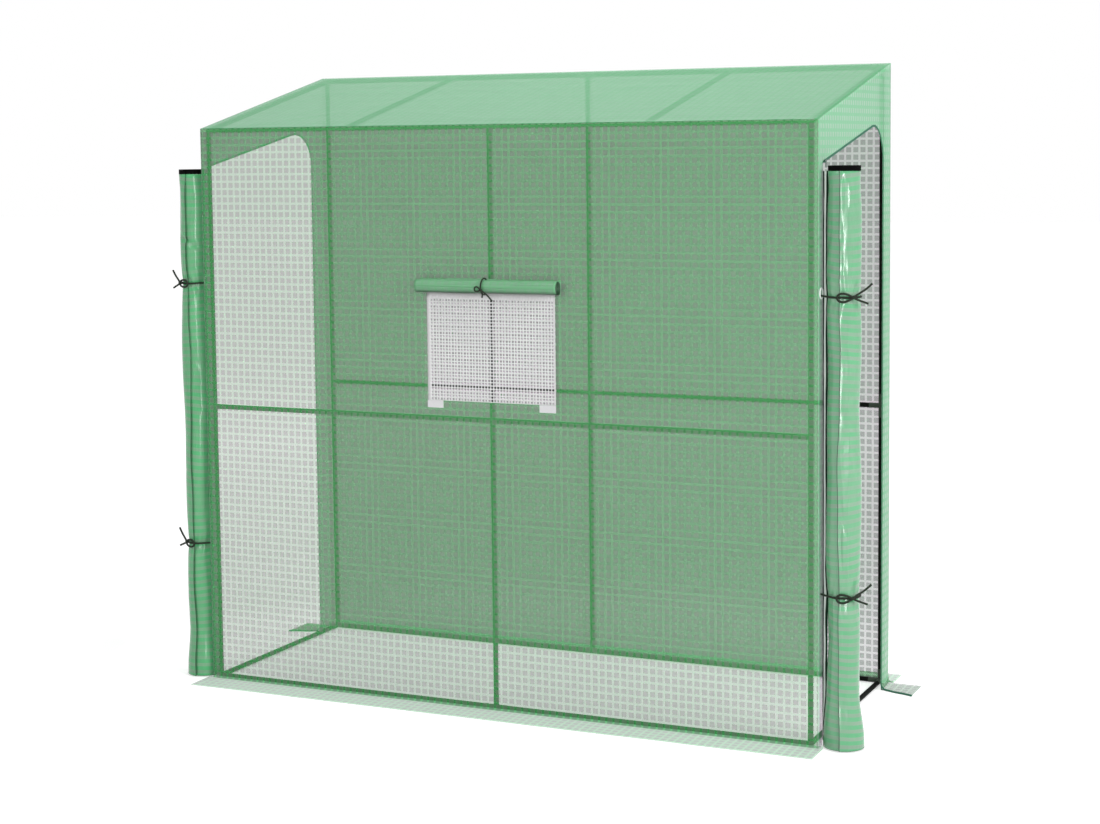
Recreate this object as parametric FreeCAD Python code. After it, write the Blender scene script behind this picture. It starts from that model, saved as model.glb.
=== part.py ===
import FreeCAD, Part
import math
import os

# Frame: distances between tube axes, and heights of the axes above the ground
frame_width = 2120.0
frame_depth = 790.0
eave_height = 1887.0
ridge_height = 2072.0
mid_rail_height = 947.0

# Tubes, and the moulded connectors that they slide onto
tube_diameter = 16.0
tube_wall = 0.8
connector_diameter = 17.0
hub_swell = 0.6  # how far the ball in a connector's middle stands proud of its arms
arm_length = 40.0  # from a connector's middle to the shoulder that a tube's end meets
spigot_length = 30.0
spigot_clearance = 0.25

# Film cover
film_thickness = 1.0
cover_clearance = 0.3  # between the connectors and the film
end_stand_off = 26.0  # from an end post's axis to the outer face of the end film
flap_depth = 115.0  # strip of film that lies on the ground outside the walls
flap_overrun = 17.0  # how far the front and back flaps run past the end films
end_flap_splay = 40.0  # how far the front edge of an end flap runs forwards at its outer side

# Doorway in each end, measured from the front and back posts' axes
doorway_front_margin = 35.0
doorway_back_margin = 85.0
doorway_front_height = 1764.0
doorway_rise = 0.2  # rise of the doorway's top edge for each unit of depth
doorway_corner_radius = 110.0

# Zip along the doorway's top, corner and back edge
zip_width = 7.0
zip_thickness = 1.0
slider_length = 18.0
slider_width = 11.0
slider_nose = 7.7  # width of the slider's narrower front end
slider_height = 4.0
slider_round = 1.2
slider_clearance = 0.3
slider_front_gap = 6.0  # from the front end of the zip to the parked slider
pull_length = 20.0
pull_width = 6.0
pull_thickness = 1.2

# Rolled door, hanging outside the end film beside the front post
roll_radius = 50.0
roll_offset_x = 90.0  # from the end post's axis to the roll's axis
roll_offset_y = 38.0  # from the front post's axis to the roll's axis, backwards
roll_foot_radius = 61.0
roll_waist_radius = 46.0
roll_bottom = 3.0
roll_top = 1741.0
roll_lip_height = 42.0  # up to here the foot keeps nearly its full radius
roll_lip_radius = 60.0
roll_ankle_height = 110.0  # where the foot has drawn in half-way
roll_flare_height = 170.0
roll_waist_length = 110.0  # height over which the roll draws in above and below a tie
roll_film = 1.2
roll_pitch = 3.2
roll_quarters = 9
hem_height = 16.0
seam_gap = 0.4

# Ties round the rolled doors
upper_tie_height = 1368.0
lower_tie_height = 467.0
cord_diameter = 6.5
tie_clearance = 0.3
knot_radius = 7.5
knot_sink = 0.3  # how far the knot's ball stays back from the cord's inner side
knot_angle = -45.0  # round the roll, from +X towards +Y, on the right-hand door
loop_clearance = 0.6  # between the bow's loop and the cord that it crosses
loop_start = 5.5  # from the knot's middle to where the loop's two ends begin, inside the knot
loop_angles = (8.0, 24.0, 42.0, 54.0, 60.0)  # round the roll, from the knot
loop_rises = (6.5, 11.0, 11.0, 6.5, 0.0)
long_tail = ((0, 0, 0), (17.0, 11.0, 13.0), (35.0, 22.0, 25.0), (50.0, 31.0, 41.0))
short_tail = ((0, 0, 0), (14.0, 7.0, -7.0), (29.0, 14.0, -13.0), (41.0, 20.0, -18.0))

# White rings beside the upper ties
ring_radius = 15.5
ring_wire = 4.4
ring_rise = 10.0  # of the ring's middle above the tie
ring_clearance = 0.3

# Window in the front film
window_width = 457.0
window_sill = 1006.0
window_height = 357.0
net_margin = 9.0
net_thickness = 0.6
net_columns = 20
net_rows = 14
net_strand = 3.0
patch_width = 57.0
patch_height = 24.0
patch_thickness = 1.2

# Rolled window flap, hung from a seam above the window
flap_roll_radius = 23.5
flap_roll_length = 500.0
flap_roll_rise = 18.0  # of the roll's axis above the window's head
flap_roll_film = 1.0
flap_roll_pitch = 2.4
flap_roll_quarters = 12
flap_roll_clearance = 0.3
window_tie_diameter = 5.0
window_tie_x = -8.0
window_knot_radius = 5.5
window_knot_angle = 20.0  # below the front of the roll
window_tail_long = ((0, 0, 0), (15.0, -3.0, -7.0), (31.0, -4.0, -20.0), (44.0, -4.0, -34.0))
window_tail_short = ((0, 0, 0), (2.0, -3.0, -9.0), (5.0, -5.0, -18.0), (6.0, -6.0, -26.0))

tube_radius = tube_diameter / 2
arm_radius = connector_diameter / 2
hub_radius = arm_radius + hub_swell
base_height = hub_radius
half_width = frame_width / 2
half_depth = frame_depth / 2
roof_angle = math.atan2(ridge_height - eave_height, frame_depth)
film_gap = hub_radius + cover_clearance
front_inner = -half_depth - film_gap
front_outer = front_inner - film_thickness
back_inner = half_depth + film_gap
back_outer = back_inner + film_thickness
end_outer = half_width + end_stand_off
end_inner = end_outer - film_thickness
doorway_front = -half_depth + doorway_front_margin
doorway_back = half_depth - doorway_back_margin
doorway_angle = math.atan(doorway_rise)
roll_x = half_width + roll_offset_x
roll_y = -half_depth + roll_offset_y
tie_radius = roll_waist_radius + tie_clearance + cord_diameter / 2
window_head = window_sill + window_height
flap_roll_y = front_outer - flap_roll_clearance - flap_roll_radius
flap_roll_z = window_head + flap_roll_rise

left, middle, right = -half_width, 0.0, half_width
quarters = (-half_width / 2, half_width / 2)
rafter_direction = FreeCAD.Vector(0, math.cos(roof_angle), math.sin(roof_angle))
x_axis = FreeCAD.Vector(1, 0, 0)
y_axis = FreeCAD.Vector(0, 1, 0)
z_axis = FreeCAD.Vector(0, 0, 1)
mirror_plane = (FreeCAD.Vector(0, 0, 0), x_axis)


def point(x, y, z):
    return FreeCAD.Vector(x, y, z)


def mirrored(shape):
    return shape.mirror(*mirror_plane)


def rod(start, end, radius):
    return Part.makeCylinder(radius, (end - start).Length, start, end - start)


def tube(start, end):
    """A tube between two connectors' middles, cut to end at their shoulders."""
    along = (end - start).normalize()
    first, last = start + along * arm_length, end - along * arm_length
    return rod(first, last, tube_radius).cut(rod(first, last, tube_radius - tube_wall))


def connector(centre, directions):
    """A hub with an arm for each direction and a spigot that enters the tube there."""
    spigot_radius = tube_radius - tube_wall - spigot_clearance
    solids = []
    for direction in directions:
        shoulder = centre + direction * arm_length
        solids.append(rod(centre, shoulder, arm_radius))
        solids.append(rod(centre, shoulder + direction * spigot_length, spigot_radius))
    return Part.makeSphere(hub_radius, centre, directions[0]).fuse(solids).removeSplitter()


def rail(y, z, stations):
    """The tubes of one horizontal rail, each between two neighbouring stations."""
    return [tube(point(a, y, z), point(b, y, z)) for a, b in zip(stations, stations[1:])]


def posts():
    shapes = {}
    rows = (("front", -half_depth, eave_height), ("back", half_depth, ridge_height))
    for row, y, top in rows:
        for side, x in (("left", left), ("middle", middle), ("right", right)):
            base, mid, head = point(x, y, base_height), point(x, y, mid_rail_height), point(x, y, top)
            shapes[f"{row}_{side}_post_lower"] = tube(base, mid)
            shapes[f"{row}_{side}_post_upper"] = tube(mid, head)
    return shapes


def rails():
    shapes = {}
    for row, y in (("front", -half_depth), ("back", half_depth)):
        for level, z in (("base", base_height), ("mid", mid_rail_height)):
            on_left, on_right = rail(y, z, (left, middle, right))
            shapes[f"{row}_{level}_rail_left"] = on_left
            shapes[f"{row}_{level}_rail_right"] = on_right
    for side, x in (("left", left), ("right", right)):
        ends = point(x, -half_depth, base_height), point(x, half_depth, base_height)
        shapes[f"{side}_side_base_rail"] = tube(*ends)
    stations = (left, quarters[0], middle, quarters[1], right)
    shapes["eave_rails"] = Part.makeCompound(rail(-half_depth, eave_height, stations))
    shapes["ridge_rails"] = Part.makeCompound(rail(half_depth, ridge_height, stations))
    names = ("rafter_left_end", "rafter_left_inner", "rafter_right_inner", "rafter_right_end")
    for name, x in zip(names, (left, *quarters, right)):
        ends = point(x, -half_depth, eave_height), point(x, half_depth, ridge_height)
        shapes[name] = tube(*ends)
    return shapes


def connectors():
    """Each kind of connector is one group of like solids."""
    down = z_axis * -1
    ends = ((left, x_axis), (right, x_axis * -1))
    rows = ((-half_depth, y_axis), (half_depth, y_axis * -1))
    both = (x_axis, x_axis * -1)
    eave = [point(x, -half_depth, eave_height) for x in (left, right, middle, *quarters)]
    ridge = [point(x, half_depth, ridge_height) for x in (left, right, middle, *quarters)]
    rafter_back = rafter_direction * -1
    groups = {
        "base_corner_connectors": [
            (point(x, y, base_height), (inwards, across, z_axis))
            for x, inwards in ends for y, across in rows],
        "base_tee_connectors": [
            (point(middle, y, base_height), (*both, z_axis)) for y, _ in rows],
        "mid_tee_connectors": [
            (point(x, y, mid_rail_height), (inwards, z_axis, down))
            for x, inwards in ends for y, _ in rows],
        "mid_cross_connectors": [
            (point(middle, y, mid_rail_height), (*both, z_axis, down)) for y, _ in rows],
        "eave_corner_connectors": [
            (eave[0], (x_axis, down, rafter_direction)),
            (eave[1], (x_axis * -1, down, rafter_direction))],
        "eave_post_connector": [(eave[2], (*both, down))],
        "eave_rafter_connectors": [(p, (*both, rafter_direction)) for p in eave[3:]],
        "ridge_corner_connectors": [
            (ridge[0], (x_axis, down, rafter_back)),
            (ridge[1], (x_axis * -1, down, rafter_back))],
        "ridge_post_connector": [(ridge[2], (*both, down))],
        "ridge_rafter_connectors": [(p, (*both, rafter_back)) for p in ridge[3:]],
    }
    return {name: Part.makeCompound([connector(*each) for each in group])
            for name, group in groups.items()}


def roof_underside(y):
    return eave_height + (y + half_depth) * math.tan(roof_angle) + film_gap / math.cos(roof_angle)


def prism_along_x(outline, start, end):
    """A solid whose section across X is the closed outline of (y, z) corners."""
    corners = [point(start, y, z) for y, z in outline]
    return Part.Face(Part.makePolygon([*corners, corners[0]])).extrude(point(end - start, 0, 0))


def plate(outline, bottom, top):
    """A flat plate whose outline is given as (x, y) corners."""
    corners = [point(x, y, bottom) for x, y in outline]
    return Part.Face(Part.makePolygon([*corners, corners[0]])).extrude(point(0, 0, top - bottom))


def doorway_curve(offset):
    """Points of the doorway's top, corner and back edge, moved outwards by an offset."""
    centre_y = doorway_back - doorway_corner_radius
    line = doorway_front_height + (centre_y - doorway_front) * doorway_rise
    centre_z = line - doorway_corner_radius / math.cos(doorway_angle)
    radius = doorway_corner_radius + offset
    tangent = math.pi / 2 + doorway_angle
    start = (doorway_front, doorway_front_height + offset / math.cos(doorway_angle))
    arc = [(centre_y + radius * math.cos(a), centre_z + radius * math.sin(a))
           for a in (tangent, tangent / 2, 0)]
    return [start, *arc, (doorway_back + offset, 0.0)]


def doorway_band(x, inner, outer, foot):
    """A face in the plane of the end film between two offsets of the doorway's edge."""
    edges, ends = [], []
    for offset in (inner, outer):
        top, first, middle_of_arc, last, bottom = [
            point(x, y, z) for y, z in doorway_curve(offset)]
        bottom.z = foot
        edges += [Part.makeLine(top, first), Part.Arc(first, middle_of_arc, last).toShape(),
                  Part.makeLine(last, bottom)]
        ends.append((top, bottom))
    (inner_top, inner_bottom), (outer_top, outer_bottom) = ends
    edges += [Part.makeLine(inner_top, outer_top), Part.makeLine(inner_bottom, outer_bottom)]
    return Part.Face(Part.Wire(Part.__sortEdges__(edges)))


def doorway_cutter():
    x = end_inner - film_thickness
    top, first, middle_of_arc, last, bottom = [point(x, y, z) for y, z in doorway_curve(0.0)]
    below = -film_thickness
    bottom.z = below
    corner = point(x, doorway_front, below)
    edges = [Part.makeLine(corner, top), Part.makeLine(top, first),
             Part.Arc(first, middle_of_arc, last).toShape(),
             Part.makeLine(last, bottom), Part.makeLine(bottom, corner)]
    return Part.Face(Part.Wire(edges)).extrude(point(3 * film_thickness, 0, 0))


def end_film():
    outline = [(front_inner, 0), (back_inner, 0),
               (back_inner, roof_underside(back_inner)), (front_inner, roof_underside(front_inner))]
    return prism_along_x(outline, end_inner, end_outer).cut(doorway_cutter())


def window_outline(margin):
    half = window_width / 2 + margin
    return (-half, half, window_sill - margin, window_head + margin)


def front_film():
    low, high = roof_underside(front_outer), roof_underside(front_inner)
    outline = [(front_outer, 0), (front_inner, 0), (front_inner, high), (front_outer, low)]
    x0, x1, z0, z1 = window_outline(0.0)
    opening = Part.makeBox(x1 - x0, 3 * film_thickness, z1 - z0,
                           point(x0, front_outer - film_thickness, z0))
    return prism_along_x(outline, -end_outer, end_outer).cut(opening)


def back_film():
    low, high = roof_underside(back_inner), roof_underside(back_outer)
    outline = [(back_inner, 0), (back_outer, 0), (back_outer, high), (back_inner, low)]
    return prism_along_x(outline, -end_outer, end_outer)


def roof_film():
    rise = film_thickness / math.cos(roof_angle)
    low, high = roof_underside(front_outer), roof_underside(back_outer)
    outline = [(front_outer, low), (back_outer, high), (back_outer, high + rise), (front_outer, low + rise)]
    return prism_along_x(outline, -end_outer, end_outer)


def end_flap_outline():
    outer = end_outer + flap_depth
    return [(end_outer, doorway_back), (outer, doorway_back - end_flap_splay),
            (outer, back_outer), (end_outer, back_outer)]


def ground_flaps():
    reach = end_outer + flap_overrun
    front = [(-reach, front_outer - flap_depth), (reach, front_outer - flap_depth),
             (reach, front_outer), (-reach, front_outer)]
    back = [(-reach, back_outer), (reach, back_outer),
            (reach, back_outer + flap_depth), (-reach, back_outer + flap_depth)]
    end = plate(end_flap_outline(), 0, film_thickness)
    shapes = [plate(front, 0, film_thickness), plate(back, 0, film_thickness), end, mirrored(end)]
    return Part.makeCompound(shapes)


def zip_tape():
    """The zip on the right-hand doorway, and the binding that runs on along the flap's front edge."""
    tape = doorway_band(end_outer, 0.0, zip_width, film_thickness).extrude(point(zip_thickness, 0, 0))
    (x0, y0), (x1, y1) = end_flap_outline()[:2]
    start = end_outer + zip_thickness
    first = y0 + (y1 - y0) * (start - x0) / (x1 - x0)
    edge = [(start, first), (x1, y1), (x1, y1 + zip_width), (start, first + zip_width)]
    binding = plate(edge, film_thickness, film_thickness + zip_thickness)
    return Part.makeCompound([tape, binding])


def zip_slider():
    """The slider and its pull, parked at the front end of the right-hand zip."""
    along = point(0, math.cos(doorway_angle), math.sin(doorway_angle))
    across = point(0, -math.sin(doorway_angle), math.cos(doorway_angle))
    start_y, start_z = doorway_curve(zip_width / 2)[0]
    face = end_outer + zip_thickness + slider_clearance
    centre = point(face, start_y, start_z) + along * (slider_front_gap + slider_length / 2)
    half, wide, narrow = along * (slider_length / 2), across * (slider_width / 2), across * (slider_nose / 2)
    corners = [centre - half - narrow, centre + half - wide, centre + half + wide,
               centre - half + narrow]
    body = Part.Face(Part.makePolygon([*corners, corners[0]])).extrude(point(slider_height, 0, 0))
    body = body.makeFillet(slider_round, body.Edges)
    pull = Part.makeBox(pull_thickness, pull_width, pull_length,
                        point(face + slider_height - pull_thickness / 2,
                              centre.y - pull_width / 2, centre.z - pull_length))
    return body.fuse(pull).removeSplitter()


def spiral_band(radius, thickness, pitch, quarter_turns, start, turn, lead=0.0):
    """Closed outline, in plane coordinates, of a film wound inwards in quarter-turn arcs.

    It starts at the angle start with its outer face at the radius, and may begin with a
    straight lead that runs into the first arc.
    """
    step = pitch / 4
    sides = {0: [], 1: []}
    for side, face in ((0, 0.0), (1, thickness)):
        cx = cy = 0.0
        angle, r = start, radius - face
        for _ in range(quarter_turns):
            angles = [angle, angle + turn * math.pi / 4, angle + turn * math.pi / 2]
            sides[side].append([(cx + r * math.cos(a), cy + r * math.sin(a)) for a in angles])
            angle = angles[2]
            cx, cy = cx + step * math.cos(angle), cy + step * math.sin(angle)
            r -= step
    heading = (turn * math.sin(start), -turn * math.cos(start))
    leads = [(s[0][0][0] + heading[0] * lead, s[0][0][1] + heading[1] * lead) for s in sides.values()]
    return sides[0], sides[1], leads


def band_wire(outer, inner, leads, place):
    """A wire through the two faces of a wound film, with place giving each point in space."""
    has_lead = leads[0] != outer[0][0]
    edges = []
    if has_lead:
        edges.append(Part.makeLine(place(*leads[0]), place(*outer[0][0])))
    edges += [Part.Arc(*[place(*p) for p in arc]).toShape() for arc in outer]
    edges.append(Part.makeLine(place(*outer[-1][2]), place(*inner[-1][2])))
    edges += [Part.Arc(*[place(*p) for p in reversed(arc)]).toShape() for arc in reversed(inner)]
    if has_lead:
        edges.append(Part.makeLine(place(*inner[0][0]), place(*leads[1])))
    edges.append(Part.makeLine(place(*leads[1]), place(*leads[0])))
    return Part.Wire(edges)


def roll_outline():
    start = -math.pi / 2
    return spiral_band(roll_radius, roll_film, roll_pitch, roll_quarters, start, 1)


def roll_section(z, radius):
    scale = radius / roll_radius
    outline = roll_outline()
    return band_wire(*outline, lambda u, v: point(roll_x + u * scale, roll_y + v * scale, z))


def roll_stations():
    """Heights and radii of the rolled door, from its splayed foot to its top."""
    stations = [(roll_bottom, roll_foot_radius), (roll_lip_height, roll_lip_radius),
                (roll_ankle_height, (roll_foot_radius + roll_radius) / 2),
                (roll_flare_height, roll_radius)]
    near = (roll_waist_length / 2, roll_radius - (roll_radius - roll_waist_radius) / 3)
    for tie in (lower_tie_height, upper_tie_height):
        stations += [(tie - roll_waist_length, roll_radius), (tie - near[0], near[1]),
                     (tie, roll_waist_radius),
                     (tie + near[0], near[1]), (tie + roll_waist_length, roll_radius)]
    return [*stations, (roll_top, roll_radius)]


def door_roll():
    """The rolled right-hand door, with the strip that joins it to its seam."""
    roll = Part.makeLoft([roll_section(*each) for each in roll_stations()], True, True)
    near = roll_x - roll_radius - seam_gap
    start = end_outer + seam_gap
    strip = Part.makeBox(near - start, film_thickness, roll_top - roll_flare_height,
                         point(start, roll_y - film_thickness / 2, roll_flare_height))
    notch_x = roll_x - tie_radius - cord_diameter / 2 - seam_gap
    for tie in (lower_tie_height, upper_tie_height):
        corner = point(notch_x, roll_y - film_thickness, tie - cord_diameter)
        strip = strip.cut(Part.makeBox(roll_x - notch_x, 2 * film_thickness, 2 * cord_diameter, corner))
    return Part.makeCompound([roll, strip])


def door_hem():
    return Part.Face(roll_section(roll_top, roll_radius)).extrude(point(0, 0, hem_height))


def rounded_path(corners, name):
    """A wire of straight runs joined by tangent arcs, which prints its tightest radius."""
    edges, radii, at = [], [], corners[0]
    for before, corner, after in zip(corners, corners[1:], corners[2:]):
        first, second = before - corner, after - corner
        turn = math.pi - first.getAngle(second)
        back = 0.45 * min(first.Length, second.Length)
        start, end = corner + first.normalize() * back, corner + second.normalize() * back
        radius = back / math.tan(turn / 2)
        radii.append(radius)
        bisector = (first.normalize() + second.normalize()).normalize()
        centre_distance = math.hypot(radius, back)
        edges.append(Part.makeLine(at, start))
        edges.append(Part.Arc(start, corner + bisector * (centre_distance - radius), end).toShape())
        at = end
    edges.append(Part.makeLine(at, corners[-1]))
    print(f"{name}: {sum(e.Length for e in edges):.0f} mm long, tightest radius {min(radii):.1f} mm")
    return Part.Wire(edges)


def cord(corners, diameter, name):
    path = rounded_path(corners, name)
    heading = (corners[1] - corners[0]).normalize()
    ring = Part.Wire(Part.makeCircle(diameter / 2, corners[0], heading))
    solid = path.makePipeShell([ring], True, False)
    expected = math.pi * diameter ** 2 / 4 * path.Length
    print(f"{name}: volume {solid.Volume / expected:.3f} of section times length")
    return solid


def tail_route(start, offsets):
    return [start + point(*offset) for offset in offsets]


def door_tie(height):
    """One tie of the right-hand door: a turn of cord round the roll, a bow's loop and two tails."""
    wrap = Part.makeTorus(tie_radius, cord_diameter / 2, point(roll_x, roll_y, height), z_axis)

    def on_roll(degrees, rise, out):
        angle = math.radians(knot_angle - degrees)
        r = tie_radius + out
        return point(roll_x + r * math.cos(angle), roll_y + r * math.sin(angle), height + rise)

    knot_at = on_roll(0.0, 0.0, knot_radius - cord_diameter / 2 + knot_sink)
    knot = Part.makeSphere(knot_radius, knot_at)
    out = cord_diameter + loop_clearance
    upper = [on_roll(angle, rise, out) for angle, rise in zip(loop_angles, loop_rises)]
    lower = [on_roll(angle, -rise, out) for angle, rise in zip(loop_angles, loop_rises)]
    first = knot_at + (upper[0] - knot_at).normalize() * loop_start
    last = knot_at + (lower[0] - knot_at).normalize() * loop_start
    loop = cord([first, *upper, *reversed(lower[:-1]), last], cord_diameter, "bow loop")
    tails = [cord(tail_route(knot_at, offsets), cord_diameter, "tail")
             for offsets in (long_tail, short_tail)]
    return [knot, *[each.cut(knot) for each in (wrap, loop, *tails)]]


def door_ring():
    """The white ring on the right-hand end film, which the upper tie passes."""
    wire = ring_wire / 2
    x = end_outer + ring_clearance + wire
    y = (front_outer + doorway_front) / 2
    return Part.makeTorus(ring_radius, wire, point(x, y, upper_tie_height + ring_rise), x_axis)


def window_net():
    x0, x1, z0, z1 = window_outline(net_margin)
    y = front_inner
    rim = net_margin + net_strand
    step_x = (x1 - x0 - 2 * rim + net_strand) / net_columns
    step_z = (z1 - z0 - 2 * rim + net_strand) / net_rows

    def rectangle(a, b, c, d):
        corners = [point(a, y, c), point(b, y, c), point(b, y, d), point(a, y, d)]
        return Part.makePolygon([*corners, corners[0]])

    gaps = []
    for column in range(net_columns):
        for row in range(net_rows):
            a, c = x0 + rim + column * step_x, z0 + rim + row * step_z
            gaps.append(rectangle(a, a + step_x - net_strand, c, c + step_z - net_strand))
    sheet = Part.makeFace([rectangle(x0, x1, z0, z1), *gaps], "Part::FaceMakerCheese")
    return sheet.extrude(point(0, net_thickness, 0))


def window_patches():
    x0, x1, z0, _ = window_outline(0.0)
    return Part.makeCompound([
        Part.makeBox(patch_width, patch_thickness, patch_height,
                     point(x, front_outer - patch_thickness, z0 - patch_height))
        for x in (x0, x1 - patch_width)])


def window_flap():
    outline = spiral_band(flap_roll_radius, flap_roll_film, flap_roll_pitch, flap_roll_quarters,
                          0.0, -1, flap_roll_radius)
    x = -flap_roll_length / 2
    wire = band_wire(*outline, lambda u, v: point(x, flap_roll_y + u, flap_roll_z + v))
    return Part.Face(wire).extrude(point(flap_roll_length, 0, 0))


def window_tie():
    """A turn of cord round the front of the rolled flap, with its knot and two tails."""
    wrap_radius = flap_roll_radius + tie_clearance + window_tie_diameter / 2
    middle_of_roll = point(window_tie_x, flap_roll_y, flap_roll_z)
    turn = Part.makeTorus(wrap_radius, window_tie_diameter / 2, middle_of_roll, x_axis)
    lead_face = front_outer - flap_roll_clearance - flap_roll_film
    corner = point(window_tie_x - window_tie_diameter, lead_face, flap_roll_z - 2 * wrap_radius)
    behind = Part.makeBox(2 * window_tie_diameter, 2 * wrap_radius, 4 * wrap_radius, corner)
    below = math.radians(window_knot_angle)
    reach = wrap_radius + window_knot_radius - window_tie_diameter / 2 + knot_sink
    knot_at = middle_of_roll + point(0, -reach * math.cos(below), -reach * math.sin(below))
    knot = Part.makeSphere(window_knot_radius, knot_at)
    tails = [cord(tail_route(knot_at, offsets), window_tie_diameter, "window tail")
             for offsets in (window_tail_long, window_tail_short)]
    return Part.makeCompound([knot, turn.cut([behind, knot]), *[tail.cut(knot) for tail in tails]])


def pairs():
    """What each end holds, made for the right-hand end and mirrored for the left."""
    ties = Part.makeCompound([*door_tie(upper_tie_height), *door_tie(lower_tie_height)])
    made = {"door_roll": door_roll(), "door_hem": door_hem(), "door_ties": ties,
            "door_zip_tape": zip_tape(), "door_zip_slider": zip_slider()}
    shapes = {}
    for name, shape in made.items():
        shapes[f"right_{name}"] = shape
        shapes[f"left_{name}"] = mirrored(shape)
    return shapes


def parts():
    shapes = {**posts(), **rails(), **connectors(), **pairs()}
    end, ring = end_film(), door_ring()
    shapes.update({
        "front_film": front_film(), "back_film": back_film(), "roof_film": roof_film(),
        "right_end_film": end, "left_end_film": mirrored(end), "ground_flaps": ground_flaps(),
        "door_rings": Part.makeCompound([ring, mirrored(ring)]),
        "window_net": window_net(), "window_fastener_patches": window_patches(),
        "window_flap_roll": window_flap(), "window_tie": window_tie(),
    })
    return shapes


os.makedirs("parts", exist_ok=True)
made = parts()
for name, shape in made.items():
    if not shape.isValid():
        print(f"{name} isn't valid")
    shape.exportStep(f"parts/{name}.step")
print(f"{len(made)} nodes")
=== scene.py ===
import math
import bmesh
import bpy
import numpy as np
from mathutils import Matrix, Vector


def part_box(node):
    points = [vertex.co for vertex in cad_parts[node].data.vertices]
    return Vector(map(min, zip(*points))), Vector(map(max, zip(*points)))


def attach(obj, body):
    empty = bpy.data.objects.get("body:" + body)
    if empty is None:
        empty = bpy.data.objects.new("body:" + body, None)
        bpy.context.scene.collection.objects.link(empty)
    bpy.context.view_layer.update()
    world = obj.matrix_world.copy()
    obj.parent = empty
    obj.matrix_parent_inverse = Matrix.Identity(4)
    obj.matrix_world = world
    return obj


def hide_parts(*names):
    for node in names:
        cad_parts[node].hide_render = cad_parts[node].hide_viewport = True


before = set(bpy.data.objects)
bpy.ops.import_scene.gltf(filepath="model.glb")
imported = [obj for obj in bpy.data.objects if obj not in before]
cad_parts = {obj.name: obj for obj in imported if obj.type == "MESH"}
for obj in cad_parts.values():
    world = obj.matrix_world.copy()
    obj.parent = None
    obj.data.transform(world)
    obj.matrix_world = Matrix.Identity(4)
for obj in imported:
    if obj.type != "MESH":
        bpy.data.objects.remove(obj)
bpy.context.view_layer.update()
scene = bpy.context.scene
print("stage: frame loaded,", len(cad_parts), "nodes")


# The room: a white floor and soft light, with the camera where the photograph was taken from

camera = {"place": (2.8404, -6.1547, 1.8173), "yaw": -0.42899, "pitch": -0.08518, "roll": -0.01043,
          "lens": 65.954, "sensor": 36.0, "shiftY": -0.0836}

room = {"floorSize": 80.0, "floorDepth": 0.0006, "floorColour": 0.74, "floorRoughness": 0.9,
        "skyLight": 0.4, "shadeLift": (1.2, 1.7, 0.5, 0.28), "farLift": (2.5, 6.0, 0.0, 0.4),
        "throughOne": (1.0, 0.79, 0.97), "throughMore": (0.45, 0.25, 0.4),
        "frontTint": (0.66, 0.74, 0.68), "frontFloor": (-0.4, -1.6)}
# shadeLift, farLift: two distances from the middle of the floor, and its glow at each
# throughOne, throughMore: the white that one film, or more, let by
# frontTint: what one film lets by of the floor before the object, from one y to another

lamps = {
    "keyLamp": {"at": (9.0, -2.8, 4.2), "aim": (0.9, 0.0, 1.0), "size": (5.5, 5.5), "watts": 660.0,
                "mirrored": False},
    "frontLamp": {"at": (-2.4, -6.8, 4.2), "aim": (-0.4, 0.0, 1.3), "size": (4.0, 3.0),
                  "watts": 131.0},
    "topLamp": {"at": (0.1, 0.6, 5.6), "aim": (0.0, 0.0, 1.0), "size": (4.0, 3.0), "watts": 225.0},
    "stripLamp": {"at": (3.7, -7.94, 1.45), "aim": (1.15, -0.36, 1.0), "size": (0.34, 3.0),
                  "watts": 150.0},
}  # a lamp that isn't mirrored leaves no highlight


def addObject(name, data):
    piece = bpy.data.objects.new(name, data)
    scene.collection.objects.link(piece)
    return piece


def placeCamera(c):
    yaw, pitch, tilt = c["yaw"], c["pitch"], c["roll"]
    level = math.cos(pitch)
    forward = Vector((math.sin(yaw) * level, math.cos(yaw) * level, math.sin(pitch)))
    right = Vector((math.cos(yaw), -math.sin(yaw), 0.0))
    up = right.cross(forward)
    x = right * math.cos(tilt) + up * math.sin(tilt)
    y = up * math.cos(tilt) - right * math.sin(tilt)
    turn = Matrix((x, y, -forward)).transposed().to_4x4()
    data = bpy.data.cameras.new("camera")
    data.lens, data.sensor_width, data.shift_y = c["lens"], c["sensor"], c["shiftY"]
    piece = addObject("camera", data)
    piece.matrix_world = Matrix.Translation(c["place"]) @ turn
    scene.camera = piece


def placeLamp(name, lamp):
    data = bpy.data.lights.new(name, "AREA")
    data.shape, data.energy = "RECTANGLE", lamp["watts"]
    data.size, data.size_y = lamp["size"]
    piece = addObject(name, data)
    piece.location = lamp["at"]
    beam = Vector(lamp["aim"]) - Vector(lamp["at"])
    piece.rotation_euler = beam.to_track_quat("-Z", "Y").to_euler()
    piece.visible_glossy = lamp.get("mirrored", True)


# Small helpers for materials: each node is made and wired in one line

def newMaterial(name):
    made = bpy.data.materials.new(name)
    made.use_nodes = True
    return made, made.node_tree, made.node_tree.nodes["Principled BSDF"]


def setInputs(tree, node, inputs):
    # An input is set to a value, or wired to another node's output
    for key, value in inputs.items():
        if isinstance(value, bpy.types.NodeSocket):
            tree.links.new(value, node.inputs[key])
        else:
            node.inputs[key].default_value = value
    return node


def addNode(tree, kind, inputs=None, **settings):
    node = tree.nodes.new(kind)
    for key, value in settings.items():
        setattr(node, key, value)
    return setInputs(tree, node, inputs or {})


def maths(tree, operation, a, b=0.0, c=0.0):
    return addNode(tree, "ShaderNodeMath", {0: a, 1: b, 2: c}, operation=operation).outputs[0]


def blendColour(tree, share, a, b):
    return addNode(tree, "ShaderNodeMix", {0: share, 6: a, 7: b}, data_type="RGBA").outputs[2]


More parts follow.
